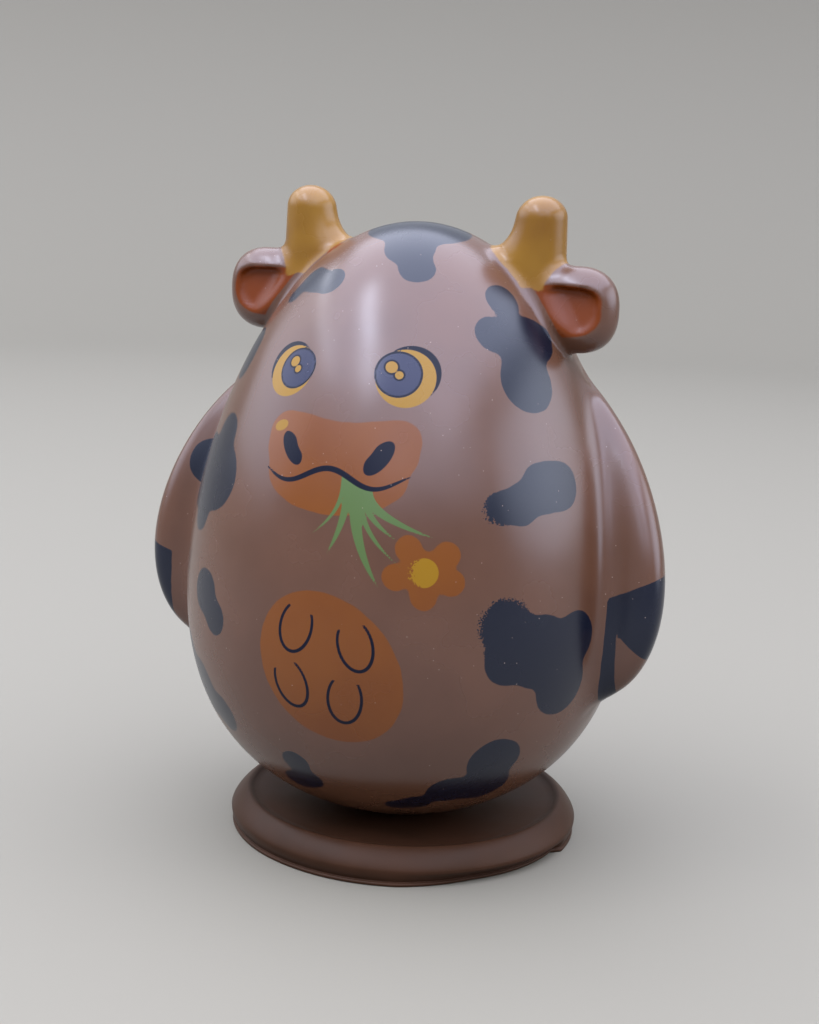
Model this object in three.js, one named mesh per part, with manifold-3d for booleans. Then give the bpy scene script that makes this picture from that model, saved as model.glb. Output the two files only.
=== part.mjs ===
// A moulded chocolate egg in the shape of a sitting cow, standing on a round chocolate foot.
// Millimetres, +Z up. The face looks towards -Y and the origin is the centre of the foot's underside.
import * as THREE from 'three';
import { mergeVertices } from 'three/addons/utils/BufferGeometryUtils.js';
import Module from 'manifold-3d';

// Egg: a body of revolution, wider below its middle
const EGG_HEIGHT = 134;
const EGG_MEAN_RADIUS = 48.75;
const EGG_TAPER = 0.219;
const EGG_FULLNESS = 0.102;
const EGG_BOTTOM_Z = 5.45;
const EGG_FLAT_Z = 6;

// Foot: a low disc with a thin lip below, a bulging wall, a rim and a shallow dish.
// The egg is set into it by hand, a little off its centre.
const FOOT_RADIUS = 40.2;
const FOOT_WIDEST_Z = 3.8;
const FOOT_HEIGHT = 8;
const FOOT_RIM_RADIUS = 36.4;
const FOOT_RIM_WIDTH = 1.4;
const FOOT_RIM_DROP = 0.6;
const FOOT_LIP_RADIUS = 39.6;
const FOOT_LIP_HEIGHT = 1;
const FOOT_UNDERSIDE_RADIUS = 38.8;
const FOOT_OFFSET = [1.2, 0.5, 0];
const SEAT_GAP = 0.3;
const SEAT_RADIUS = 9.5;

// Horns: upright stubs whose outer side stays plumb while the root spreads inwards
const HORN_X = 27.5;
const HORN_Y = 1.5;
const HORN_TIP_RADIUS = 5.4;
const HORN_ROOT_RADIUS = 6;
const HORN_TIP_LENGTH = 4.8;
const HORN_TOP_Z = 146.2;
const HORN_ROOT_Z = 119;
const HORN_SPREAD = 3.6;
const HORN_SPREAD_FALL = 3;
const HORN_SPREAD_Z = 135.2;

// Ears: rounded cups that open to the front
const EAR_CENTRE = [36.8, 0, 122.5];
const EAR_RADII = [9.2, 6.4, 9.3];
const EAR_CUP_CENTRE = [36.2, -7.4, 122.1];
const EAR_CUP_RADII = [6.4, 5.8, 5.2];

// Arms: long bulges down both sides, set back at the shoulder and curled forward at the hoof
const ARM_MID_Z = 71.5;
const ARM_HALF_HEIGHT = 32;
const ARM_REACH = 11.8;
const ARM_HALF_WIDTH = 8.5;
const ARM_SKEW = 0.13;
const ARM_ROOT_Y = 0.8;
const ARM_SLANT = 5.5;
const ARM_CURL = 6.5;

// Facets
const EGG_SEGMENTS = 60;
const EGG_RINGS = 36;
const FOOT_SEGMENTS = 60;
const ARC_STEPS = 4;
const WALL_STEPS = 7;
const DISH_STEPS = 4;
const HORN_SEGMENTS = 24;
const HORN_STEPS = 8;
const ARM_FACETS = [26, 22];
const EAR_FACETS = [24, 18];
const CUP_FACETS = [20, 14];

// Colours and finishes
const CHOCOLATE = { color: 0x75492f, roughness: 0.38, metalness: 0 };
const FOOT_CHOCOLATE = { color: 0x6b4430, roughness: 0.42, metalness: 0 };

const wasm = await Module();
wasm.setup();

// Height on the egg as a share from -1 at its lower pole to 1 at its upper pole
const eggShare = (z) => 2 * (z - EGG_BOTTOM_Z) / EGG_HEIGHT - 1;

function eggRadius(z) {
  const t = THREE.MathUtils.clamp(eggShare(z), -1, 1);
  return EGG_MEAN_RADIUS * Math.sqrt(1 - t * t) * (1 - EGG_TAPER * t + EGG_FULLNESS * t * t);
}

// A lathe of (radius, height) pairs from the axis and back to it, turned so that its axis is Z
function latheZ(profile, segments) {
  const points = profile.map(([radius, z]) => new THREE.Vector2(radius, z));
  return new THREE.LatheGeometry(points, segments).rotateX(Math.PI / 2);
}

// A unit sphere with its poles on Z
function sphereZ([around, along]) {
  return new THREE.SphereGeometry(1, around, along).rotateX(Math.PI / 2);
}

// Moves every vertex of a geometry by a rule that changes it in place
function reshape(geometry, rule) {
  const position = geometry.attributes.position;
  const vertex = new THREE.Vector3();
  for (let i = 0; i < position.count; i++) {
    vertex.fromBufferAttribute(position, i);
    rule(vertex);
    position.setXYZ(i, vertex.x, vertex.y, vertex.z);
  }
  return geometry;
}

// A closed solid from a geometry, with the shared vertices merged and the empty pole triangles dropped
function solidFrom(geometry) {
  const bare = geometry.clone();
  bare.deleteAttribute('normal');
  bare.deleteAttribute('uv');
  const merged = mergeVertices(bare);
  const index = merged.index.array;
  const triVerts = [];
  for (let i = 0; i < index.length; i += 3) {
    const [a, b, c] = [index[i], index[i + 1], index[i + 2]];
    if (a !== b && b !== c && c !== a) triVerts.push(a, b, c);
  }
  return new wasm.Manifold(new wasm.Mesh({
    numProp: 3,
    vertProperties: new Float32Array(merged.attributes.position.array),
    triVerts: new Uint32Array(triVerts),
  }));
}

function geometryFrom(solid) {
  const mesh = solid.getMesh();
  const geometry = new THREE.BufferGeometry();
  geometry.setAttribute('position', new THREE.BufferAttribute(mesh.vertProperties, 3));
  geometry.setIndex(new THREE.BufferAttribute(mesh.triVerts, 1));
  geometry.computeVertexNormals();
  return geometry;
}

// The bare egg, with a small flat below to stand on; rings crowd towards the poles
function eggBody() {
  const lowest = Math.acos(eggShare(EGG_FLAT_Z));
  const profile = [[0, EGG_FLAT_Z]];
  for (let i = 0; i <= EGG_RINGS; i++) {
    const share = Math.cos(lowest * (1 - i / EGG_RINGS));
    const z = EGG_BOTTOM_Z + EGG_HEIGHT * (share + 1) / 2;
    profile.push([eggRadius(z), z]);
  }
  return latheZ(profile, EGG_SEGMENTS);
}

// How far the horn's root spreads towards the crown at a height
function hornSpread(z) {
  const fall = Math.max(z - HORN_SPREAD_Z, -HORN_SPREAD_FALL) / HORN_SPREAD_FALL;
  return HORN_SPREAD * Math.exp(-fall);
}

function horn() {
  const shoulderZ = HORN_TOP_Z - HORN_TIP_LENGTH;
  const profile = [[0, HORN_ROOT_Z]];
  for (let i = 0; i <= HORN_STEPS; i++) {
    const up = i / HORN_STEPS;
    profile.push([
      THREE.MathUtils.lerp(HORN_ROOT_RADIUS, HORN_TIP_RADIUS, up),
      THREE.MathUtils.lerp(HORN_ROOT_Z, shoulderZ, up),
    ]);
  }
  for (let i = 1; i <= ARC_STEPS; i++) {
    const angle = Math.PI / 2 * i / ARC_STEPS;
    profile.push([HORN_TIP_RADIUS * Math.cos(angle), shoulderZ + HORN_TIP_LENGTH * Math.sin(angle)]);
  }
  return reshape(latheZ(profile, HORN_SEGMENTS), (v) => {
    if (v.x < 0) v.x *= 1 + hornSpread(v.z) / HORN_TIP_RADIUS;
    v.x += HORN_X;
    v.y += HORN_Y;
  });
}

function ellipsoid(centre, radii, facets) {
  return sphereZ(facets).scale(...radii).translate(...centre);
}

// An arm follows the egg's side; its root slants and its ridge curls towards the face
function arm() {
  return reshape(sphereZ(ARM_FACETS), (v) => {
    const { x: outward, y: across, z: share } = v;
    const fullness = 1 - ARM_SKEW * share;
    v.z = ARM_MID_Z + ARM_HALF_HEIGHT * share;
    v.x = eggRadius(v.z) + ARM_REACH * fullness * outward;
    v.y = ARM_ROOT_Y + ARM_SLANT * share + ARM_HALF_WIDTH * fullness * across - ARM_CURL * outward;
  });
}

// A piece made for the +X side, left there or mirrored to the -X side
function onSide(geometry, side) {
  if (side > 0) return geometry;
  geometry.scale(-1, 1, 1);
  const index = geometry.index.array;
  for (let i = 0; i < index.length; i += 3) {
    [index[i], index[i + 1]] = [index[i + 1], index[i]];
  }
  return geometry;
}

function ear(side) {
  const outer = onSide(ellipsoid(EAR_CENTRE, EAR_RADII, EAR_FACETS), side);
  const cup = onSide(ellipsoid(EAR_CUP_CENTRE, EAR_CUP_RADII, CUP_FACETS), side);
  return solidFrom(outer).subtract(solidFrom(cup));
}

// The whole casting: egg, horns, ears and arms in one piece
function casting() {
  let solid = solidFrom(eggBody());
  for (const side of [1, -1]) {
    solid = solid.add(solidFrom(onSide(arm(), side)));
    solid = solid.add(ear(side));
    solid = solid.add(solidFrom(onSide(horn(), side)));
  }
  return geometryFrom(solid);
}

function foot() {
  const seatZ = EGG_FLAT_Z - SEAT_GAP;
  const bulge = FOOT_RADIUS - FOOT_RIM_RADIUS;
  const rise = FOOT_HEIGHT - FOOT_WIDEST_Z;
  const wallStart = -Math.asin((FOOT_WIDEST_Z - FOOT_LIP_HEIGHT) / rise);
  const profile = [
    [0, 0],
    [FOOT_UNDERSIDE_RADIUS, 0],
    [FOOT_LIP_RADIUS, FOOT_LIP_HEIGHT / 3],
    [FOOT_LIP_RADIUS, FOOT_LIP_HEIGHT * 0.8],
  ];
  for (let i = 0; i <= WALL_STEPS; i++) {
    const angle = THREE.MathUtils.lerp(wallStart, Math.PI / 2, i / WALL_STEPS);
    profile.push([FOOT_RIM_RADIUS + bulge * Math.cos(angle), FOOT_WIDEST_Z + rise * Math.sin(angle)]);
  }
  const dishRadius = FOOT_RIM_RADIUS - FOOT_RIM_WIDTH;
  const dishDepth = FOOT_HEIGHT - FOOT_RIM_DROP - seatZ;
  for (let i = 0; i <= DISH_STEPS; i++) {
    const inward = i / DISH_STEPS;
    profile.push([
      THREE.MathUtils.lerp(dishRadius, SEAT_RADIUS, inward),
      seatZ + dishDepth * (1 - inward) ** 2,
    ]);
  }
  profile.push([0, seatZ]);
  return geometryFrom(solidFrom(latheZ(profile, FOOT_SEGMENTS)));
}

function part(name, geometry, finish) {
  const mesh = new THREE.Mesh(geometry, new THREE.MeshStandardMaterial(finish));
  mesh.name = name;
  return mesh;
}

const figure = new THREE.Group();
figure.add(part('egg', casting(), CHOCOLATE));
const footMesh = part('foot', foot(), FOOT_CHOCOLATE);
footMesh.position.set(...FOOT_OFFSET);
figure.add(footMesh);

export default figure;
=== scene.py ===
import math

import bmesh
import bpy
import numpy as np
from mathutils import Matrix, Vector


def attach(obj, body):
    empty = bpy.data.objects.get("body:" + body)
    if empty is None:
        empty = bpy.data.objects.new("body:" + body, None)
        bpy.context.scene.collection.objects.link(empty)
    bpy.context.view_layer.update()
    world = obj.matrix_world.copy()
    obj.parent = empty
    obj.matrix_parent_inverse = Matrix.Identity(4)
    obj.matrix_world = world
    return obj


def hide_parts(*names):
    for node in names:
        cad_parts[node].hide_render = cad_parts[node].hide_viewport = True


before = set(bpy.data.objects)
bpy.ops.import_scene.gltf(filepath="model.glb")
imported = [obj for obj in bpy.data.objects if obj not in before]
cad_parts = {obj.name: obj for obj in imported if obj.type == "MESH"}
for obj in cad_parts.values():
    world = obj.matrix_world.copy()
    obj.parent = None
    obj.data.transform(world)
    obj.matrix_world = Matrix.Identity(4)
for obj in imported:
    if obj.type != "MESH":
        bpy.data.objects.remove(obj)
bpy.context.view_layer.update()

# The figure is worked out in millimetres and handed to Blender in metres.
MM = 0.001

# Egg: a body of revolution, wider below its middle
EGG_HEIGHT = 134
EGG_MEAN_RADIUS = 48.75
EGG_TAPER = 0.219
EGG_FULLNESS = 0.102
EGG_BOTTOM_Z = 5.45
EGG_FLAT_Z = 6

# Arms: long bulges down both sides
ARM_MID_Z = 71.5
ARM_HALF_HEIGHT = 32
ARM_REACH = 11.8
ARM_HALF_WIDTH = 8.5
ARM_SKEW = 0.13
ARM_ROOT_Y = 0.8
ARM_SLANT = 5.5
ARM_CURL = 6.5

# Horns: upright stubs whose root spreads inwards
HORN_X = 27.5
HORN_Y = 1.5
HORN_TIP_RADIUS = 5.4
HORN_ROOT_RADIUS = 6
HORN_TIP_LENGTH = 4.8
HORN_TOP_Z = 146.2
HORN_ROOT_Z = 119
HORN_SPREAD = 3.6
HORN_SPREAD_FALL = 3
HORN_SPREAD_Z = 135.2

# Ears: squarish forms with a shallow opening to the front, which is rounder below than above
EAR_CENTRE = (36.8, 0, 122.5)
EAR_RADII = (9.2, 6.4, 9.3)
EAR_CORNERS = 2.4
EAR_CUP_X = 35
EAR_CUP_Z = 122.3
EAR_CUP_HALF_WIDTH = 7.6
EAR_CUP_HALF_HEIGHT = 5
EAR_CUP_FLOOR_Y = -2.6
EAR_CUP_FLOOR_TILT = 0.2
EAR_CUP_CORNERS = (2.3, 3.4)
EAR_RAMP_WIDTH = 5.6
EAR_RAMP_SLOPE = 0.75

# How softly the moulded forms run into each other
ARM_FILLET = 6
HORN_FILLET = 3
EAR_FILLET = 2.4
EAR_RIM_ROUNDING = 1.4
EAR_FLOOR_ROUNDING = 1.6
FLAT_ROUNDING = 0.5

# Foot: a low disc with a thin lip, a bulging wall, a rim and a shallow dish
FOOT_RADIUS = 40.2
FOOT_WIDEST_Z = 3.8
FOOT_HEIGHT = 8
FOOT_RIM_RADIUS = 36.4
FOOT_RIM_WIDTH = 1.4
FOOT_RIM_DROP = 0.6
FOOT_LIP_RADIUS = 39.9
FOOT_LIP_HEIGHT = 1
FOOT_LIP_ROUNDING = 0.45
FOOT_UNDERSIDE_RADIUS = 38.4
FOOT_CAP_RADIUS = 0.5
FOOT_WALL_STRAIGHTNESS = 1.5
FOOT_OFFSET = (1.2, 0.5)
SEAT_Z = 5.7
SEAT_RADIUS = 9.5

# Rings of points round the foot, part by part, and where those of its dish and seat begin
UNDERSIDE_RINGS = 12
LIP_RINGS = 9
LOWER_WALL_RINGS = 8
UPPER_WALL_RINGS = 20
RIM_RINGS = 4
DISH_RINGS = 16
DISH_FIRST_SHARE = 0.06
SEAT_RINGS = 5
SEAT_FIRST_STEP = 2

# Chip in the foot's lip: the azimuths between which it deepens, stays and ends, and how high it reaches
FOOT_CHIP_DEPTH = 2
FOOT_CHIP_AZIMUTHS = (20, 45, 84, 87)
FOOT_CHIP_SHARES = (0, 1, 1, 0)
FOOT_CHIP_TOP_Z = 3

# How the foot is out of round: waves round it, share of its radius and phase
FOOT_WAVES = ((2, 0.0022, 0.7), (5, 0.0012, 2.1), (11, 0.0006, 0))

# Mesh fineness
GRID_STEP = 0.85
GRID_MARGIN = 3
FIRST_FIT_ROUNDS = 4
LAST_FIT_ROUNDS = 2
RELAX_ROUNDS = 6
FINE_LAYERS = ("green", "yellow", "ink", "lights")
FINE_REACH = 1.2
FOOT_SEGMENTS = 240
FLOOR_SEGMENTS = 96
MERIDIAN_STEPS = 4000

# Steps and limits for working with the level functions and the flat shapes
LEVEL_STEP = 0.02
LEAST_LEVEL_SLOPE = 0.004
FIT_STEP = 0.03
LEAST_FIT_SLOPE = 0.05
LEAST_OVAL_SLOPE = 1e-3
ARM_SHARE_LIMIT = 1.5
ARM_ROOT_LIMIT = 1.4
TINY = 1e-9
FAR = 99.0
SEARCH_RADIUS = 90.0
SEARCH_ROUNDS = 24

# Print. A place on the egg is an azimuth from the face in degrees, towards +X, and a height.
# Within a motif, millimetres run across and along the unrolled surface from the motif's place.

# Patches as joined lobes: azimuth, height and radius
PATCH_BLEND = 2.6
PATCHES = (
    ((20, 139.1, 11.6), (14, 134.4, 5.5), (20.6, 130.4, 3.9)),
    ((-25.5, 126.8, 3.5), (-35, 126.4, 2.9), (-43, 126.8, 3.3), (-47, 123.2, 2.4)),
    ((-58, 111, 5), (-56, 107.5, 3.8)),
    ((62, 124.3, 4.2), (51, 118, 4.1), (63, 116, 6), (72, 116.5, 4.9), (60.5, 108.6, 6.9)),
    ((58.5, 87.6, 5.4), (64.8, 87.6, 5.2), (51, 84.6, 4.3), (44.6, 84.1, 3.5)),
    ((-45, 93, 5), (-41, 84.5, 7.4), (-48, 76, 4.4), (-56, 84, 8.5), (-70, 83, 8), (-81, 82, 5.5)),
    ((-38.5, 60, 5), (-33, 55.3, 3.9)),
    ((-58, 41, 7.5), (-47, 36.5, 7), (-37, 32.5, 5)),
    ((46, 60.2, 6.2), (67.3, 55.5, 6), (56, 54, 8), (47, 53, 5.4), (64.3, 45.6, 7)),
    ((48.5, 29.3, 6.2), (49, 22, 6.1), (38, 21.3, 5.1), (28, 17.4, 3.4), (21, 16.4, 2.4)),
    ((-10, 26, 3.4), (-8, 21.5, 3.4), (-14, 20, 3.2)),
    ((124, 112, 6), (131, 107, 5.4), (118, 104.5, 4.6)),
    ((167, 109, 6.2), (178, 103, 7.4), (171, 96.5, 5.6), (189, 108, 4.6)),
    ((-129, 98, 5.6), (-136, 92.5, 7), (-127, 88, 5.2)),
    ((137, 76, 7.6), (147, 71, 6.2), (133, 68, 5.6), (142, 81, 4.8)),
    ((-171, 66, 6.2), (-178, 60, 8), (-168, 56, 6)),
    ((-127, 56, 7.2), (-136, 50.5, 6.6), (-123, 48.5, 5.2)),
    ((124, 38, 6), (132, 34, 7), (141, 36.5, 5)),
    ((177, 30, 6.4), (-173, 25.5, 5.6), (168, 25, 4.8)),
    ((-109, 26, 5.4), (-117, 21, 4.8)),
    ((-153, 121, 4.8), (-161, 117, 4.4)),
)

# Hooves: sloping edges as distance from the middle plane, height there and slope
HOOF_MARGIN = 0.4
RIGHT_HOOF_TOP = (49, 62, 0.5)
RIGHT_HOOF_CLEFT = (53, 55.4, -0.85)
LEFT_HOOF_TOP = (57, 61, 0.3)
LEFT_HOOF_INNER_X = 55.2

# Eyes: side, azimuth, height and size of each; their discs as across, along and radius.
# The lid and the pupil are mirrored with the side, and the lights are measured across from the pupil.
EYES = ((1, 18.8, 109.2, 0.98), (-1, -21.7, 108.7, 0.9))
EYE_BALL_RADIUS = 6.4
EYE_LID = (1.1, 1, 6.3)
EYE_PUPIL = (-1.55, 0.8, 5.1)
EYE_PUPIL_RING = 0.45
EYE_LIGHTS = ((-1.5, 2.3, 1.3), (0.2, 0.6, 0.9))
EYE_LIGHT_RING = 0.4

# Muzzle: a rounded box with a dip above, a lip below and a glint
MUZZLE_PLACE = (0.9, 92.5)
MUZZLE_CENTRE = (0.2, 2.8)
MUZZLE_HALF = (17.2, 6.3)
MUZZLE_CORNER = 5.2
MUZZLE_DIP_CENTRE = (1, 24)
MUZZLE_DIP_RADIUS = 15.6
MUZZLE_DIP_ROUNDING = 3
LIP_CENTRE = (0, -3.4)
LIP_RADII = (15.8, 7.8)
LIP_BLEND = 1.5
GLINT_CENTRE = (-14.2, 5.7)
GLINT_RADII = (1.8, 1.1)
GLINT_TILT = 25

# Nostrils: ovals with a bite, as centre, radii and tilt, and the bite's centre and radius
NOSTRILS = (
    ((-10.3, 1.4), (3.9, 1.95), 126, (-7, 3.2), 2.1),
    ((9.2, 1.1), (4.15, 2.15), 56, (5.4, 3.2), 2.2),
)
NOSTRIL_ROUNDING = 1.2

# Mouth: a wave whose line thins out to both ends
MOUTH_MIDDLE = (-0.9, -3.5)
MOUTH_WAVE = 1.7
MOUTH_HALF_WAVE = 9.85
MOUTH_LINE_MIDDLE = -0.2
MOUTH_LINE_HALF_LENGTH = 16.9
MOUTH_LINE_HALF_STROKE = 0.68
MOUTH_LINE_THINNING = 0.08

# Grass blades: root and tip across, length down and half width
GRASS_PLACE = (7.3, 88)
GRASS_BEND = 2.3
GRASS_BLADES = (
    (-2.4, -8.6, 10.8, 0.5),
    (-1.2, -4.8, 14.6, 0.9),
    (0.4, 7, 20.6, 1.3),
    (1.3, 11.4, 16.2, 0.65),
    (1.9, 10.5, 11, 0.8),
    (2.6, 17.8, 10, 1.15),
)

# Flower petals: bearing in degrees and reach, drawn by hand and so uneven
FLOWER_PLACE = (25.6, 71.6)
FLOWER_PETALS = ((38, 5.9), (124, 5.8), (190, 5.8), (271, 4.9), (341, 6.1))
FLOWER_PETAL_RADIUS = 2.75
FLOWER_PETAL_BLEND = 1.6
FLOWER_CORE_RADIUS = 4.3
FLOWER_HEART_RADIUS = 3

# Udder, and its teats: the lowest point of each and its tilt in degrees
UDDER_PLACE = (3.4, 50.6)
UDDER_CENTRE = (0, -0.6)
UDDER_RADII = (17.6, 14.6)
UDDER_TILT = -48
TEATS = ((-8.6, 2.5, -15), (7.4, 0.1, 15), (-6.2, -9.6, 22), (3.4, -12, -4))
TEAT_RADII = (3.6, 5.5)
TEAT_HEIGHT = 9.4
TEAT_HALF_STROKE = 0.37
TEAT_THINNING = 0.008

# Paint inside the ears, and a stray dab of it beside the horn on the -X side
EAR_PAINT_MARGIN = 0.5
EAR_PAINT_FROM_EGG = 2.3
EAR_PAINT_BACK_Y = -1
STRAY_PLACE = np.array([(-74, 132.6)])
STRAY_RADIUS = 2.2
STRAY_MARGIN = 0.7

# Paint on the horns: its lower end is bowed beside the ear
HORN_PAINT_MARGIN = 0.9
HORN_PAINT_Z = 126
HORN_PAINT_X = 30
HORN_PAINT_BOW = 0.2
HORN_PAINT_BOW_REACH = (-2, 3)

# Places where the print is starved: azimuth, height and radius
WORN_PLACES = np.array([(40, 61, 6), (41, 82.5, 5), (21.6, 71.4, 3.4), (49, 66, 4.5)])
WEAR_REACH = 1.3

# Farthest distance that a printed edge is kept for
PRINT_REACH = 20

# Colours from 0 to 255
CHOCOLATE = (79, 51, 36)
CHOCOLATE_PALE = (87, 57, 41)
PATCH = (9, 13, 29)
TAN = (108, 60, 17)
TAN_DEEP = (100, 53, 14)
RUSSET = (101, 46, 13)
YELLOW = (132, 98, 20)
GREEN = (74, 96, 54)
INK = (11, 14, 30)
HORN = (128, 92, 26)
HORN_DEEP = (111, 75, 19)
PUPIL = (14, 18, 52)
SPECK = (175, 155, 145)
# Foot chocolate, painted darker than the egg's: painted shade for the shade it sits in under the egg
FOOT_SHADED_CHOCOLATE = (48, 30, 20)
FOOT_SHADED_CHOCOLATE_PALE = (57, 36, 25)
FLOOR_COLOUR = (118, 115, 106)

# Specular levels of the bare chocolate and of what is printed on it
BARE_GLOSS = 0.5
PATCH_GLOSS = 0.38
PAINT_GLOSS = 0.32
YELLOW_GLOSS = 0.24
RUSSET_GLOSS = 0.18
INK_GLOSS = 0.15

# Finishes
EGG_ROUGHNESS = (0.22, 0.3)
EGG_IOR = 1.65
EGG_SPECULAR_TINT = (0.8, 0.86, 1, 1)
FOOT_ROUGHNESS = (0.36, 0.48)
FOOT_IOR = 1.22
FLOOR_ROUGHNESS = 0.75

# Noise in the materials: sizes in millimetres, and the noise values between which a change happens
MOTTLE_SIZE = 22
HORN_MOTTLE_SIZE = 14
FOOT_MOTTLE_SIZE = 14
MOTTLE_DETAIL = 4
SURFACE_WAVE_SIZE = 16
SURFACE_WAVE_DETAIL = 1
WOBBLE_SIZE = 4
GRAIN_SIZE = 0.4
FOOT_GRAIN_SIZE = 0.7
FOOT_GRAIN_DETAIL = 3
TONE_CHANGE = (0.3, 0.75)
ROUGHNESS_CHANGE = (0.2, 0.8)

# How noise shifts the printed edges: the value that leaves them in place, and millimetres per unit of noise
WOBBLE_MIDDLE = 0.5
WOBBLE_SHIFT = 0.5
GRAIN_MIDDLE = 0.42
GRAIN_SHIFT = 5

# Fine pale specks: a cell in millimetres, which holds one speck at most, and the speck's edge in cells
SPECK_CELL = 1
SPECK_EDGE = (0.07, 0.15)
SPECK_STRENGTH = 0.5
SPECK_CLUMPING = 0.4
SPECK_RARITY = 1.15

# Relief of the surfaces: strength, height in millimetres and the grain's share of it
EGG_RELIEF = (0.25, 0.4, 0.02)
FOOT_RELIEF = (0.3, 0.2, 0.15)

# Camera: where the photograph was taken from, in millimetres, degrees and pixels
IMAGE_HEIGHT_PX = 1024
CAMERA_AZIMUTH = 21.67
CAMERA_DISTANCE = 379.9
CAMERA_HEIGHT = 152.1
CAMERA_PITCH = -11.62
CAMERA_ROLL = 2.29
CAMERA_FOCAL_PX = 1700
SENSOR_MM = 36

# Floor that sweeps up into a wall
FLOOR_FLAT_RADII = (600, 300, 1)
FLOOR_RADIUS = 1000
FLOOR_BEND = 400
FLOOR_BEND_STEPS = 13
FLOOR_WALL_HEIGHT = 450

# Soft boxes: name, place and size in metres, brightness, colour and turn.
# A box hangs level with its length turned from Y by some degrees, or is aimed at the egg without a turn.
LIGHTS = (
    ("overhead", (0.1, -0.1, 1.3), (2.6, 2.6), 3.7, (0.84, 0.86, 1), 0),
    ("front", (0.5, -0.8, 0.6), (1.2, 0.32), 1.95, (0.88, 0.89, 1), None),
    ("front_left", (-0.13, -0.91, 0.67), (1.0, 0.35), 1.5, (0.88, 0.89, 1), None),
    ("strip", (-0.3, -0.6, 0.97), (0.12, 0.9), 12, (0.93, 0.94, 1), 13),
    ("left_strip", (-1.0, -0.1, 0.97), (0.14, 1.5), 8, (0.93, 0.94, 1), 11),
    ("left", (-1.15, -0.2, 0.57), (1.6, 0.65), 2.5, (0.88, 0.9, 1), None),
    ("right", (1.15, 0.3, 0.42), (1.5, 0.75), 3.7, (0.9, 0.92, 1), None),
)
LIGHT_TARGET = Vector((0, 0, 0.07))

# Spread of the aimed boxes in degrees, narrow enough to keep hard shade lines off the floor
AIMED_SPREAD = 95

# Even light from all around
WORLD_COLOUR = (0.86, 0.91, 1, 1)
WORLD_STRENGTH = 0.8


# Joining level functions and distances

def smooth_union(a, b, fillet):
    """The nearer of two distances, with a fillet of about this width where they meet."""
    near = np.maximum(fillet - np.abs(a - b), 0) / fillet
    return np.minimum(a, b) - near * near * fillet / 4


def smooth_cut(a, b, rounding):
    """What is in a and outside b, with a rounded edge."""
    return -smooth_union(-a, b, rounding)


def distance(level, x, y, z):
    """About how far each point is from where a level function is zero."""
    here = level(x, y, z)
    slope_x = level(x + LEVEL_STEP, y, z) - here
    slope_y = level(x, y + LEVEL_STEP, z) - here
    slope_z = level(x, y, z + LEVEL_STEP) - here
    slope = np.sqrt(slope_x ** 2 + slope_y ** 2 + slope_z ** 2) / LEVEL_STEP
    return here / np.maximum(slope, LEAST_LEVEL_SLOPE)


# The casting as level functions: below zero inside, above zero outside

def egg_share(z):
    """Height on the egg, from -1 at its lower pole to 1 at its upper pole."""
    return 2 * (z - EGG_BOTTOM_Z) / EGG_HEIGHT - 1


def egg_girth(share):
    return EGG_MEAN_RADIUS * (1 - EGG_TAPER * share + EGG_FULLNESS * share * share)


def egg_radius(z):
    share = np.clip(egg_share(z), -1, 1)
    return egg_girth(share) * np.sqrt(1 - share * share)


def egg_level(x, y, z):
    share = egg_share(z)
    return np.sqrt((x * x + y * y) / egg_girth(share) ** 2 + share * share) - 1


def arm_level(x, y, z):
    share = (z - ARM_MID_Z) / ARM_HALF_HEIGHT
    fullness = 1 - ARM_SKEW * np.clip(share, -ARM_SHARE_LIMIT, ARM_SHARE_LIMIT)
    root = egg_radius(ARM_MID_Z + ARM_HALF_HEIGHT * np.clip(share, -ARM_ROOT_LIMIT, ARM_ROOT_LIMIT))
    outward = (np.abs(x) - root) / (ARM_REACH * fullness)
    across = y - ARM_ROOT_Y - ARM_SLANT * share + ARM_CURL * outward
    across = across / (ARM_HALF_WIDTH * fullness)
    return np.sqrt(outward ** 2 + across ** 2 + share ** 2) - 1


def horn_level(x, y, z):
    shoulder = HORN_TOP_Z - HORN_TIP_LENGTH
    fall = np.maximum(z - HORN_SPREAD_Z, -HORN_SPREAD_FALL) / HORN_SPREAD_FALL
    spread = HORN_SPREAD * np.exp(-fall)
    across = np.abs(x) - HORN_X
    across = np.where(across < 0, across / (1 + spread / HORN_TIP_RADIUS), across)
    up = np.clip((z - HORN_ROOT_Z) / (shoulder - HORN_ROOT_Z), 0, 1)
    radius = HORN_ROOT_RADIUS + (HORN_TIP_RADIUS - HORN_ROOT_RADIUS) * up
    tip = np.maximum(z - shoulder, 0) / HORN_TIP_LENGTH
    root = np.maximum(HORN_ROOT_Z - z, 0) / HORN_TIP_LENGTH
    return np.sqrt((across ** 2 + (y - HORN_Y) ** 2) / radius ** 2 + tip ** 2 + root ** 2) - 1


def ear_level(x, y, z):
    u = np.abs((np.abs(x) - EAR_CENTRE[0]) / EAR_RADII[0])
    v = (y - EAR_CENTRE[1]) / EAR_RADII[1]
    w = np.abs((z - EAR_CENTRE[2]) / EAR_RADII[2])
    outline = (u ** EAR_CORNERS + w ** EAR_CORNERS + TINY) ** (2 / EAR_CORNERS)
    return np.sqrt(outline + v * v) - 1


def cup_outline(x, z):
    """Millimetres to the edge of the ear's opening, seen from the front."""
    corners = np.where(z < EAR_CUP_Z, *EAR_CUP_CORNERS)
    u = np.abs((np.abs(x) - EAR_CUP_X) / EAR_CUP_HALF_WIDTH)
    w = np.abs((z - EAR_CUP_Z) / EAR_CUP_HALF_HEIGHT)
    nearness = (u ** corners + w ** corners + TINY) ** (1 / corners)
    return (nearness - 1) * EAR_CUP_HALF_HEIGHT


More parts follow.
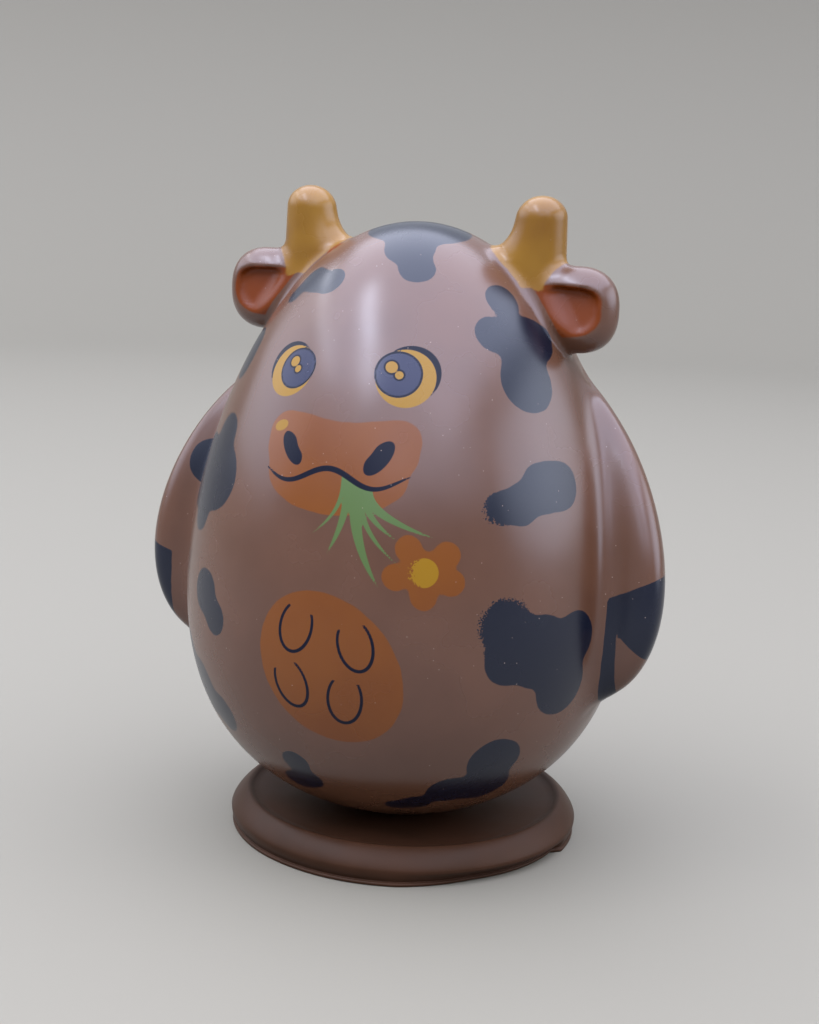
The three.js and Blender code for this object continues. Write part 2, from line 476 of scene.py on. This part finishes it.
def ear_distance(x, y, z):
    """An ear whose opening has a floor that leans out below and rises in a ramp beside the egg."""
    lean = EAR_CUP_FLOOR_TILT * (EAR_CUP_Z + EAR_CUP_HALF_HEIGHT - z)
    into_ramp = EAR_RAMP_WIDTH - distance(egg_level, x, y, z)
    ramp = EAR_RAMP_SLOPE * -smooth_union(-into_ramp, 0, EAR_FLOOR_ROUNDING)
    floor = EAR_CUP_FLOOR_Y - lean - ramp
    cup = -smooth_union(-cup_outline(x, z), floor - y, EAR_FLOOR_ROUNDING)
    return smooth_cut(distance(ear_level, x, y, z), cup, EAR_RIM_ROUNDING)


def casting_distance(x, y, z):
    """The whole casting: egg, arms, ears and horns, on a small flat."""
    body = smooth_union(distance(egg_level, x, y, z), distance(arm_level, x, y, z), ARM_FILLET)
    body = smooth_union(body, ear_distance(x, y, z), EAR_FILLET)
    body = smooth_union(body, distance(horn_level, x, y, z), HORN_FILLET)
    return smooth_cut(body, z - EGG_FLAT_Z, FLAT_ROUNDING)


# From the casting's distance to a mesh of even quads

def casting_slope(points):
    """How the casting's distance changes along X, Y and Z; on the surface it points outwards."""
    x, y, z = points.T
    return np.stack([
        casting_distance(x + FIT_STEP, y, z) - casting_distance(x - FIT_STEP, y, z),
        casting_distance(x, y + FIT_STEP, z) - casting_distance(x, y - FIT_STEP, z),
        casting_distance(x, y, z + FIT_STEP) - casting_distance(x, y, z - FIT_STEP),
    ], axis=1) / (2 * FIT_STEP)


def onto_surface(points, rounds=1):
    """Moves points onto the casting's surface along its slope."""
    for _ in range(rounds):
        slope = casting_slope(points)
        here = casting_distance(*points.T)
        points = points - slope * (here / np.maximum((slope ** 2).sum(1), LEAST_FIT_SLOPE))[:, None]
    return points


def relaxed(points, quads):
    """Evens out the spacing of the points while they stay on the surface."""
    edges = np.concatenate([quads[:, [i, (i + 1) % 4]] for i in range(4)])
    ends = np.concatenate([edges, edges[:, ::-1]])
    count = np.bincount(ends[:, 0], minlength=len(points))[:, None]
    for _ in range(RELAX_ROUNDS):
        total = np.stack([
            np.bincount(ends[:, 0], weights=points[ends[:, 1], axis], minlength=len(points))
            for axis in range(3)
        ], axis=1)
        points = onto_surface((points + total / count) / 2)
    return onto_surface(points, LAST_FIT_ROUNDS)


def casting_mesh():
    """One point in each grid cell that the surface crosses, and one quad round each crossed grid edge."""
    reach_x = egg_radius(ARM_MID_Z) + ARM_REACH * (1 + ARM_SKEW) + GRID_MARGIN
    reach_y = EGG_MEAN_RADIUS + GRID_MARGIN
    half_x = np.arange(0, reach_x, GRID_STEP)
    ys = np.arange(-reach_y, reach_y, GRID_STEP)
    zs = np.arange(EGG_FLAT_Z - GRID_MARGIN, HORN_TOP_Z + GRID_MARGIN, GRID_STEP)
    half = casting_distance(half_x[:, None, None], ys[None, :, None], zs[None, None, :])
    inside = np.concatenate([half[:0:-1], half]) < 0
    xs = np.concatenate([-half_x[:0:-1], half_x])

    corners = sum(
        inside[i:len(xs) - 1 + i, j:len(ys) - 1 + j, k:len(zs) - 1 + k].astype(np.int8)
        for i in (0, 1) for j in (0, 1) for k in (0, 1)
    )
    cells = np.argwhere((corners > 0) & (corners < 8))
    number = np.full(corners.shape, -1, int)
    number[tuple(cells.T)] = np.arange(len(cells))
    origin = np.array([xs[0], ys[0], zs[0]])
    points = onto_surface(origin + (cells + 0.5) * GRID_STEP, FIRST_FIT_ROUNDS)

    quads = []
    for axis in range(3):
        first = np.moveaxis(inside, axis, 0)
        table = np.moveaxis(number, axis, 0)
        a, b, c = np.argwhere(first[:-1, 1:-1, 1:-1] != first[1:, 1:-1, 1:-1]).T
        ring = np.stack([
            table[a, b, c],
            table[a, b + 1, c],
            table[a, b + 1, c + 1],
            table[a, b, c + 1],
        ], axis=1)
        # Bringing the middle axis to the front mirrors the grid, so its quads turn the other way.
        outward = first[a, b + 1, c + 1] != (axis == 1)
        ring[~outward] = ring[~outward, ::-1]
        quads.append(ring)
    quads = np.concatenate(quads)
    return relaxed(points, quads), quads


# Places on the egg, and flat shapes as signed distances, negative inside

MERIDIAN_Z = np.linspace(EGG_BOTTOM_Z, EGG_BOTTOM_Z + EGG_HEIGHT, MERIDIAN_STEPS)
MERIDIAN_STRIDES = np.hypot(np.diff(MERIDIAN_Z), np.diff(egg_radius(MERIDIAN_Z)))
MERIDIAN_RUN = np.concatenate([[0], np.cumsum(MERIDIAN_STRIDES)])


def surface_points(places):
    """Points on the casting at azimuths and heights."""
    turn, z = np.radians(places[:, 0]), places[:, 1]
    low, high = np.zeros(len(places)), np.full(len(places), SEARCH_RADIUS)
    for _ in range(SEARCH_ROUNDS):
        radius = (low + high) / 2
        inside = casting_distance(radius * np.sin(turn), -radius * np.cos(turn), z) < 0
        low, high = np.where(inside, radius, low), np.where(inside, high, radius)
    return np.stack([low * np.sin(turn), -low * np.cos(turn), z], axis=1)


def unrolled(points, azimuth, z):
    """Millimetres across and along the egg from a place on it."""
    across = np.arctan2(points[:, 0], -points[:, 1]) - math.radians(azimuth)
    along = np.interp(points[:, 2], MERIDIAN_Z, MERIDIAN_RUN) - np.interp(z, MERIDIAN_Z, MERIDIAN_RUN)
    return across * egg_radius(points[:, 2]), along


def turned(a, b, degrees):
    c, s = math.cos(math.radians(degrees)), math.sin(math.radians(degrees))
    return c * a + s * b, c * b - s * a


def disc(a, b, centre, radius):
    return np.hypot(a - centre[0], b - centre[1]) - radius


def rounded_box(a, b, centre, half, corner):
    u = np.abs(a - centre[0]) - half[0] + corner
    v = np.abs(b - centre[1]) - half[1] + corner
    return np.hypot(np.maximum(u, 0), np.maximum(v, 0)) + np.minimum(np.maximum(u, v), 0) - corner


def oval(a, b, centre, radii, tilt=0):
    u, v = turned(a - centre[0], b - centre[1], tilt)
    nearness = np.hypot(u / radii[0], v / radii[1])
    slope = np.hypot(u / radii[0] ** 2, v / radii[1] ** 2)
    return nearness * (nearness - 1) / np.maximum(slope, LEAST_OVAL_SLOPE)


# Print

def patch_print(points):
    nearest = np.full(len(points), FAR)
    for patch in PATCHES:
        lobes = np.array(patch, float)
        shape = np.full(len(points), FAR)
        for centre, radius in zip(surface_points(lobes), lobes[:, 2]):
            lobe = np.linalg.norm(points - centre, axis=1) - radius
            shape = smooth_union(shape, lobe, PATCH_BLEND)
        nearest = np.minimum(nearest, shape)
    return nearest


def hoof_print(points):
    """The dark lower end of each arm; a cleft of bare chocolate opens downwards in the right one."""
    x, y, z = points.T
    reach = np.abs(x)

    def above(edge):
        edge_reach, edge_z, slope = edge
        return z - edge_z - slope * (reach - edge_reach)

    off_cleft = np.minimum(reach - RIGHT_HOOF_CLEFT[0], -above(RIGHT_HOOF_CLEFT))
    right = np.maximum(above(RIGHT_HOOF_TOP), off_cleft)
    left = np.maximum(above(LEFT_HOOF_TOP), LEFT_HOOF_INNER_X - reach)
    off_arm = distance(arm_level, x, y, z) - distance(egg_level, x, y, z) + HOOF_MARGIN
    return np.maximum(np.where(x > 0, right, left), off_arm)


def eye_print(points, side, azimuth, z, size):
    """Yellow ball, dark lid, a ringed pupil turned to the nose, and two ringed lights in it."""
    a, b = (run / size for run in unrolled(points, azimuth, z))
    ball = disc(a, b, (0, 0), EYE_BALL_RADIUS)
    lid = disc(a, b, (side * EYE_LID[0], EYE_LID[1]), EYE_LID[2])
    gaze = side * EYE_PUPIL[0]
    pupil = disc(a, b, (gaze, EYE_PUPIL[1]), EYE_PUPIL[2])
    ring = np.maximum(pupil, -EYE_PUPIL_RING - pupil)
    lights = np.minimum.reduce([
        disc(a, b, (gaze + across, along), radius) for across, along, radius in EYE_LIGHTS
    ])
    ink = np.minimum.reduce([np.maximum(lid, -ball), ring, lights - EYE_LIGHT_RING])
    return ball, pupil, ink, lights


def mouth_height(a):
    """Height of the mouth line in the muzzle's own millimetres, and its slope."""
    rate = math.pi / MOUTH_HALF_WAVE
    turn = rate * (a - MOUTH_MIDDLE[0])
    return MOUTH_MIDDLE[1] + MOUTH_WAVE * np.cos(turn), -MOUTH_WAVE * rate * np.sin(turn)


def mouth_print(a, b):
    height, slope = mouth_height(a)
    from_middle = (a - MOUTH_LINE_MIDDLE) / MOUTH_LINE_HALF_LENGTH
    stroke = MOUTH_LINE_HALF_STROKE * np.sqrt(np.maximum(1 - from_middle ** 2, 0)) - MOUTH_LINE_THINNING
    return np.abs(b - height) / np.sqrt(1 + slope ** 2) - stroke


def muzzle_print(points):
    """The muzzle's field, the ink of its nostrils and mouth, and a glint."""
    a, b = unrolled(points, *MUZZLE_PLACE)
    box = rounded_box(a, b, MUZZLE_CENTRE, MUZZLE_HALF, MUZZLE_CORNER)
    upper = smooth_cut(box, disc(a, b, MUZZLE_DIP_CENTRE, MUZZLE_DIP_RADIUS), MUZZLE_DIP_ROUNDING)
    field = smooth_union(upper, oval(a, b, LIP_CENTRE, LIP_RADII), LIP_BLEND)
    ink = mouth_print(a, b)
    for centre, radii, tilt, bite_centre, bite_radius in NOSTRILS:
        bite = disc(a, b, bite_centre, bite_radius)
        ink = np.minimum(ink, smooth_cut(oval(a, b, centre, radii, tilt), bite, NOSTRIL_ROUNDING))
    return field, ink, oval(a, b, GLINT_CENTRE, GLINT_RADII, GLINT_TILT)


def grass_print(points):
    """Blades that hang side by side from the mouth line and bend apart towards their tips."""
    a, b = unrolled(points, *GRASS_PLACE)
    nearest = np.full(len(points), FAR)
    for root, tip, drop, half_width in GRASS_BLADES:
        down = np.clip(-b / drop, 0, 1)
        middle = root + (tip - root) * down ** GRASS_BEND
        slope = (tip - root) / drop * GRASS_BEND * down ** (GRASS_BEND - 1)
        blade = np.abs(a - middle) / np.sqrt(1 + slope ** 2) - half_width * (1 - down ** 2)
        nearest = np.minimum(nearest, np.maximum(blade, -b - drop))
    across, along = unrolled(points, *MUZZLE_PLACE)
    height, _ = mouth_height(across)
    return np.maximum(nearest, along - height)


def flower_print(points):
    """The petals and the heart."""
    a, b = unrolled(points, *FLOWER_PLACE)
    petals = disc(a, b, (0, 0), FLOWER_CORE_RADIUS)
    for bearing, reach in FLOWER_PETALS:
        turn = math.radians(bearing)
        petal = disc(a, b, (reach * math.cos(turn), reach * math.sin(turn)), FLOWER_PETAL_RADIUS)
        petals = smooth_union(petals, petal, FLOWER_PETAL_BLEND)
    return petals, disc(a, b, (0, 0), FLOWER_HEART_RADIUS)


def udder_print(points):
    """The udder's field, and its teats as loops that are open above and thin out upwards."""
    a, b = unrolled(points, *UDDER_PLACE)
    ink = np.full(len(points), FAR)
    for across, along, tilt in TEATS:
        u, v = turned(a - across, b - along, tilt)
        stroke = TEAT_HALF_STROKE - TEAT_THINNING * v
        loop = np.abs(oval(u, v, (0, TEAT_RADII[1]), TEAT_RADII)) - stroke
        ink = np.minimum(ink, np.maximum(loop, v - TEAT_HEIGHT))
    return oval(a, b, UDDER_CENTRE, UDDER_RADII, UDDER_TILT), ink


def ear_paint(points):
    """The insides of the ears, up to the rim beside the egg, and a dab beside a horn."""
    x, y, z = points.T
    on_egg = distance(egg_level, x, y, z)
    inside = np.maximum.reduce([
        cup_outline(x, z) - EAR_PAINT_MARGIN,
        EAR_PAINT_FROM_EGG - on_egg,
        y - EAR_PAINT_BACK_Y,
    ])
    dab = np.linalg.norm(points - surface_points(STRAY_PLACE), axis=1) - STRAY_RADIUS
    return np.minimum(inside, np.maximum(dab, on_egg - STRAY_MARGIN))


def horn_paint(points):
    """The horns down to a rounded end beside the ears."""
    x, y, z = points.T
    bow = np.clip(np.abs(x) - HORN_PAINT_X, *HORN_PAINT_BOW_REACH) ** 2
    lower_end = HORN_PAINT_Z + HORN_PAINT_BOW * bow
    return np.maximum(distance(horn_level, x, y, z) - HORN_PAINT_MARGIN, lower_end - z)


def wear(points):
    """From 0 to 1, how far the print is starved, at a few places on its edges."""
    worn = np.zeros(len(points))
    for centre, radius in zip(surface_points(WORN_PLACES), WORN_PLACES[:, 2]):
        away = np.linalg.norm(points - centre, axis=1) / radius
        worn = np.maximum(worn, np.clip(WEAR_REACH - away, 0, 1))
    return worn


def print_layers(points):
    """Signed millimetres to the edge of each printed colour, negative inside, and the wear."""
    balls, pupils, inks, lights = zip(*(eye_print(points, *eye) for eye in EYES))
    muzzle, muzzle_ink, glint = muzzle_print(points)
    petals, flower_heart = flower_print(points)
    udder, udder_ink = udder_print(points)
    return {
        "patch": np.minimum(patch_print(points), hoof_print(points)),
        "tan": np.minimum.reduce([muzzle, petals, udder]),
        "russet": ear_paint(points),
        "green": grass_print(points),
        "yellow": np.minimum.reduce([*balls, flower_heart, glint]),
        "pupil": np.minimum(*pupils),
        "ink": np.minimum.reduce([*inks, muzzle_ink, udder_ink]),
        "lights": np.minimum(*lights),
        "horn": horn_paint(points),
        "wear": wear(points),
    }


# Materials

def linear(colour):
    """A colour from 0 to 255 as Blender's linear red, green and blue."""
    def channel(value):
        share = value / 255
        return share / 12.92 if share <= 0.04045 else ((share + 0.055) / 1.055) ** 2.4
    return (*map(channel, colour), 1)


class Shading:
    """The nodes of one material; a value is a plain number, a colour or another node's output."""

    def __init__(self, name):
        self.material = bpy.data.materials.new(name)
        self.material.use_nodes = True
        self.nodes = self.material.node_tree.nodes
        self.links = self.material.node_tree.links
        self.shader = self.nodes["Principled BSDF"]

    def put(self, value, socket):
        if isinstance(value, bpy.types.NodeSocket):
            self.links.new(value, socket)
        else:
            socket.default_value = value

    def set_input(self, name, value):
        """Sets one of the shader's own inputs."""
        self.put(value, self.shader.inputs[name])

    def place(self):
        """The point being shaded, in the object's own metres."""
        return self.nodes.new("ShaderNodeTexCoord").outputs["Object"]

    def attribute(self, name):
        node = self.nodes.new("ShaderNodeAttribute")
        node.attribute_name = name
        return node.outputs["Fac"]

    def noise(self, size, detail=2):
        """A noise whose features are about this many millimetres across."""
        node = self.nodes.new("ShaderNodeTexNoise")
        self.put(1 / (size * MM), node.inputs["Scale"])
        self.put(detail, node.inputs["Detail"])
        self.put(self.place(), node.inputs["Vector"])
        return node.outputs["Fac"]

    def compute(self, operation, *values):
        node = self.nodes.new("ShaderNodeMath")
        node.operation = operation
        for value, socket in zip(values, node.inputs):
            self.put(value, socket)
        return node.outputs[0]

    def stepped(self, value, change, results=(0, 1)):
        """Goes smoothly from the first result to the second while the value goes through a change."""
        node = self.nodes.new("ShaderNodeMapRange")
        node.interpolation_type = "SMOOTHSTEP"
        self.put(value, node.inputs["Value"])
        for name, limit in zip(("From Min", "From Max", "To Min", "To Max"), (*change, *results)):
            self.put(limit, node.inputs[name])
        return node.outputs["Result"]

    def over(self, below, above, mask, kind="RGBA"):
        """A colour, or a number if the kind is FLOAT, laid over another through a mask."""
        node = self.nodes.new("ShaderNodeMix")
        node.data_type = kind
        first, second, result = (2, 3, 0) if kind == "FLOAT" else (6, 7, 2)
        self.put(mask, node.inputs[0])
        self.put(below, node.inputs[first])
        self.put(above, node.inputs[second])
        return node.outputs[result]

    def relief(self, waves, grain, strength, height, grain_share):
        """Broad waves and fine grain as bumps."""
        node = self.nodes.new("ShaderNodeBump")
        self.put(strength, node.inputs["Strength"])
        self.put(height * MM, node.inputs["Distance"])
        heights = self.compute("ADD", waves, self.compute("MULTIPLY", grain, grain_share))
        self.put(heights, node.inputs["Height"])
        self.set_input("Normal", node.outputs["Normal"])


def specks(shading, mottle):
    """A mask of fine specks, in clumps where the mottling is high."""
    cells = shading.nodes.new("ShaderNodeTexVoronoi")
    shading.put(1 / (SPECK_CELL * MM), cells.inputs["Scale"])
    shading.put(shading.place(), cells.inputs["Vector"])
    near = shading.stepped(cells.outputs["Distance"], SPECK_EDGE, (SPECK_STRENGTH, 0))
    chance = shading.nodes.new("ShaderNodeSeparateColor")
    shading.put(cells.outputs["Color"], chance.inputs[0])
    clumped = shading.compute("MULTIPLY_ADD", mottle, SPECK_CLUMPING, chance.outputs[0])
    rare = shading.compute("GREATER_THAN", clumped, SPECK_RARITY)
    return shading.compute("MULTIPLY", near, rare)


def egg_material():
    """Chocolate, with the printed layers over it in the order in which they cover each other."""
    shading = Shading("printed_chocolate")
    mottle = shading.noise(MOTTLE_SIZE, MOTTLE_DETAIL)
    grain = shading.noise(GRAIN_SIZE)
    wobble = shading.noise(WOBBLE_SIZE)
    tone = shading.stepped(mottle, TONE_CHANGE)
    horn_tone = shading.stepped(shading.noise(HORN_MOTTLE_SIZE), TONE_CHANGE)

    ragged = shading.compute("MULTIPLY", shading.compute("SUBTRACT", grain, GRAIN_MIDDLE), GRAIN_SHIFT)
    broken = shading.compute("MULTIPLY", shading.attribute("wear"), ragged)
    drift = shading.compute("MULTIPLY", shading.compute("SUBTRACT", wobble, WOBBLE_MIDDLE), WOBBLE_SHIFT)

    tan = shading.over(linear(TAN), linear(TAN_DEEP), tone)
    horn = shading.over(linear(HORN), linear(HORN_DEEP), horn_tone)
    colour = shading.over(linear(CHOCOLATE), linear(CHOCOLATE_PALE), tone)
    gloss = BARE_GLOSS
    # Each layer's name, half width of its soft edge in millimetres, shifts of that edge, paint and gloss
    for name, soft, shifts, paint, shine in (
        ("patch", 0.12, (drift, broken), linear(PATCH), PATCH_GLOSS),
        ("tan", 0.14, (drift,), tan, PAINT_GLOSS),
        ("russet", 0.2, (drift,), linear(RUSSET), RUSSET_GLOSS),
        ("horn", 0.2, (drift,), horn, PAINT_GLOSS),
        ("green", 0.08, (), linear(GREEN), PAINT_GLOSS),
        ("yellow", 0.1, (broken,), linear(YELLOW), YELLOW_GLOSS),
        ("pupil", 0.08, (), linear(PUPIL), PAINT_GLOSS),
        ("ink", 0.08, (), linear(INK), INK_GLOSS),
        ("lights", 0.08, (), linear(YELLOW), YELLOW_GLOSS),
    ):
        edge = shading.attribute(name)
        for shift in shifts:
            edge = shading.compute("ADD", edge, shift)
        mask = shading.stepped(edge, (-soft, soft), (1, 0))
        colour = shading.over(colour, paint, mask)
        gloss = shading.over(gloss, shine, mask, "FLOAT")
    colour = shading.over(colour, linear(SPECK), specks(shading, mottle))

    shading.set_input("Base Color", colour)
    shading.set_input("Specular IOR Level", gloss)
    shading.set_input("Specular Tint", EGG_SPECULAR_TINT)
    shading.set_input("Roughness", shading.stepped(mottle, ROUGHNESS_CHANGE, EGG_ROUGHNESS))
    shading.set_input("IOR", EGG_IOR)
    shading.relief(shading.noise(SURFACE_WAVE_SIZE, SURFACE_WAVE_DETAIL), grain, *EGG_RELIEF)
    return shading.material


def foot_material():
    shading = Shading("foot_chocolate")
    mottle = shading.noise(FOOT_MOTTLE_SIZE, MOTTLE_DETAIL)
    grain = shading.noise(FOOT_GRAIN_SIZE, FOOT_GRAIN_DETAIL)
    tone = shading.stepped(mottle, TONE_CHANGE)
    # Painted shade: the foot's chocolate is painted darker than the egg's for the shade under the egg.
    shading.set_input("Base Color", shading.over(linear(FOOT_SHADED_CHOCOLATE), linear(FOOT_SHADED_CHOCOLATE_PALE), tone))
    shading.set_input("Roughness", shading.stepped(mottle, ROUGHNESS_CHANGE, FOOT_ROUGHNESS))
    shading.set_input("IOR", FOOT_IOR)
    shading.relief(mottle, grain, *FOOT_RELIEF)
    return shading.material


def floor_material():
    shading = Shading("pale_floor")
    shading.set_input("Base Color", linear(FLOOR_COLOUR))
    shading.set_input("Roughness", FLOOR_ROUGHNESS)
    return shading.material


# Pieces

def new_piece(name, points, faces, material):
    """A smooth object from points in millimetres."""
    mesh = bpy.data.meshes.new(name)
    mesh.from_pydata((points * MM).tolist(), [], faces)
    mesh.shade_smooth()
    mesh.materials.append(material)
    piece = bpy.data.objects.new(name, mesh)
    bpy.context.scene.collection.objects.link(piece)
    return piece


def ring_faces(rings, count):
    """Quads between rings of points, with a cap on the last ring."""
    faces = []
    for low in range(0, (rings - 1) * count, count):
        for j in range(count):
            k = (j + 1) % count
            faces.append([low + j, low + k, low + count + k, low + count + j])
    faces.append([(rings - 1) * count + j for j in range(count)])
    return faces


def mesh_points(mesh):
    """A mesh's points in millimetres."""
    return np.array([vertex.co for vertex in mesh.vertices]) / MM


def refine_print(mesh):
    """Splits the faces under the fine print once, and gives all points their true place and normal."""
    layers = print_layers(mesh_points(mesh))
    fine = np.minimum.reduce([layers[name] for name in FINE_LAYERS]) < FINE_REACH
    bm = bmesh.new()
    bm.from_mesh(mesh)
    edges = [edge for edge in bm.edges if all(fine[vertex.index] for vertex in edge.verts)]
    bmesh.ops.subdivide_edges(bm, edges=edges, cuts=1, use_grid_fill=True)
    bm.to_mesh(mesh)
    bm.free()
    points = onto_surface(mesh_points(mesh), LAST_FIT_ROUNDS)
    mesh.vertices.foreach_set("co", (points * MM).ravel())
    mesh.shade_smooth()
    slope = casting_slope(points)
    mesh.normals_split_custom_set_from_vertices(slope / np.linalg.norm(slope, axis=1)[:, None])
    return points


def make_egg():
    points, quads = casting_mesh()
    piece = new_piece("printed_egg", points, quads.tolist(), egg_material())
    points = refine_print(piece.data)
    for name, values in print_layers(points).items():
        attribute = piece.data.attributes.new(name, "FLOAT", "POINT")
        kept = np.clip(values, -PRINT_REACH, PRINT_REACH)
        attribute.data.foreach_set("value", kept.astype(np.float32))
    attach(piece, "root")
    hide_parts("egg")


def foot_profile():
    """Radius and height round the foot's section, from the middle of its underside to its seat."""
    bulge = FOOT_RADIUS - FOOT_RIM_RADIUS
    rise = FOOT_HEIGHT - FOOT_WIDEST_Z
    lip_middle = FOOT_LIP_RADIUS - FOOT_LIP_ROUNDING
    wall_start = -math.asin((FOOT_WIDEST_Z - FOOT_LIP_HEIGHT) / rise)
    dish_radius = FOOT_RIM_RADIUS - FOOT_RIM_WIDTH
    dish_depth = FOOT_HEIGHT - FOOT_RIM_DROP - SEAT_Z

    def wall_point(angle, straightness):
        return (
            FOOT_RIM_RADIUS + bulge * math.cos(angle) ** straightness,
            FOOT_WIDEST_Z + rise * math.sin(angle) ** straightness,
        )

    underside = np.linspace(FOOT_CAP_RADIUS, FOOT_UNDERSIDE_RADIUS, UNDERSIDE_RINGS)
    profile = [(radius, 0) for radius in underside]
    for angle in np.linspace(-math.pi / 2, math.pi / 2, LIP_RINGS):
        profile.append((
            lip_middle + FOOT_LIP_ROUNDING * math.cos(angle),
            FOOT_LIP_ROUNDING * (1 + math.sin(angle)),
        ))
    for angle in np.linspace(wall_start, 0, LOWER_WALL_RINGS, endpoint=False):
        profile.append(wall_point(angle, 1))
    for angle in np.linspace(0, math.pi / 2, UPPER_WALL_RINGS):
        profile.append(wall_point(angle, FOOT_WALL_STRAIGHTNESS))
    for share in np.linspace(1 / RIM_RINGS, 1, RIM_RINGS):
        profile.append((FOOT_RIM_RADIUS - FOOT_RIM_WIDTH * share, FOOT_HEIGHT - FOOT_RIM_DROP * share ** 2))
    for share in np.linspace(DISH_FIRST_SHARE, 1, DISH_RINGS):
        profile.append((
            dish_radius + (SEAT_RADIUS - dish_radius) * share,
            SEAT_Z + dish_depth * (1 - share) ** 2,
        ))
    seat = np.linspace(SEAT_RADIUS - SEAT_FIRST_STEP, FOOT_CAP_RADIUS, SEAT_RINGS)
    profile += [(radius, SEAT_Z) for radius in seat]
    return np.array(profile)


def make_foot():
    profile = foot_profile()
    radii, heights = profile[:, :1], profile[:, 1:]
    turns = np.linspace(0, 2 * math.pi, FOOT_SEGMENTS, endpoint=False)
    azimuths = (np.degrees(turns) + 90) % 360
    uneven = 1 + sum(share * np.sin(waves * turns + phase) for waves, share, phase in FOOT_WAVES)
    chip = FOOT_CHIP_DEPTH * np.interp(azimuths, FOOT_CHIP_AZIMUTHS, FOOT_CHIP_SHARES)
    chipped = np.sqrt(np.clip(1 - heights / FOOT_CHIP_TOP_Z, 0, 1)) * (radii > FOOT_RIM_RADIUS)
    radii = radii * uneven - chip * chipped
    points = np.stack([
        radii * np.cos(turns) + FOOT_OFFSET[0],
        radii * np.sin(turns) + FOOT_OFFSET[1],
        np.repeat(heights, FOOT_SEGMENTS, axis=1),
    ], axis=2).reshape(-1, 3)
    underside = list(reversed(range(FOOT_SEGMENTS)))
    faces = ring_faces(len(profile), FOOT_SEGMENTS) + [underside]
    piece = new_piece("cast_foot", points, faces, foot_material())
    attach(piece, "root")
    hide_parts("foot")


# Studio

def make_camera():
    azimuth = math.radians(CAMERA_AZIMUTH)
    data = bpy.data.cameras.new("photo_camera")
    data.sensor_width = SENSOR_MM
    data.lens = CAMERA_FOCAL_PX / IMAGE_HEIGHT_PX * SENSOR_MM
    camera = bpy.data.objects.new("photo_camera", data)
    camera.location = (
        CAMERA_DISTANCE * math.sin(azimuth) * MM,
        -CAMERA_DISTANCE * math.cos(azimuth) * MM,
        CAMERA_HEIGHT * MM,
    )
    camera.rotation_euler = (
        Matrix.Rotation(azimuth, 3, "Z")
        @ Matrix.Rotation(math.radians(90 + CAMERA_PITCH), 3, "X")
        @ Matrix.Rotation(math.radians(CAMERA_ROLL), 3, "Z")
    ).to_euler()
    bpy.context.scene.collection.objects.link(camera)
    bpy.context.scene.camera = camera


def make_floor():
    """A pale floor that sweeps up into a wall on all sides."""
    profile = [(FLOOR_RADIUS + FLOOR_BEND, FLOOR_WALL_HEIGHT)]
    for angle in np.linspace(math.pi / 2, 0, FLOOR_BEND_STEPS):
        profile.append((
            FLOOR_RADIUS + FLOOR_BEND * math.sin(angle),
            FLOOR_BEND * (1 - math.cos(angle)),
        ))
    profile += [(radius, 0) for radius in FLOOR_FLAT_RADII]
    turns = np.linspace(0, 2 * math.pi, FLOOR_SEGMENTS, endpoint=False)
    points = np.array([(r * math.cos(turn), r * math.sin(turn), z) for r, z in profile for turn in turns])
    floor = new_piece("floor", points, ring_faces(len(profile), FLOOR_SEGMENTS), floor_material())


def soft_box(name, place, size, brightness, colour, turn):
    """A rectangular light that hangs level, or is aimed at the egg."""
    data = bpy.data.lights.new(name, "AREA")
    data.shape = "RECTANGLE"
    data.size, data.size_y = size
    data.energy = brightness * math.pi * size[0] * size[1]
    data.color = colour
    light = bpy.data.objects.new(name, data)
    light.location = place
    if turn is None:
        half_spread = math.radians(AIMED_SPREAD) / 2
        data.spread = 2 * half_spread
        # The narrower spread makes the box brighter straight on, and this takes that back.
        data.energy *= 1 - half_spread / math.tan(half_spread)
        light.rotation_euler = (LIGHT_TARGET - light.location).to_track_quat("-Z", "Y").to_euler()
    else:
        light.rotation_euler = (0, 0, math.radians(turn))
    bpy.context.scene.collection.objects.link(light)


def make_lights():
    for settings in LIGHTS:
        soft_box(*settings)
    world = bpy.data.worlds.new("studio")
    world.use_nodes = True
    background = world.node_tree.nodes["Background"]
    background.inputs["Color"].default_value = WORLD_COLOUR
    background.inputs["Strength"].default_value = WORLD_STRENGTH
    bpy.context.scene.world = world


bpy.context.scene.view_settings.view_transform = "Standard"
make_camera()
make_egg()
make_foot()
make_floor()
make_lights()

bpy.context.view_layer.update()
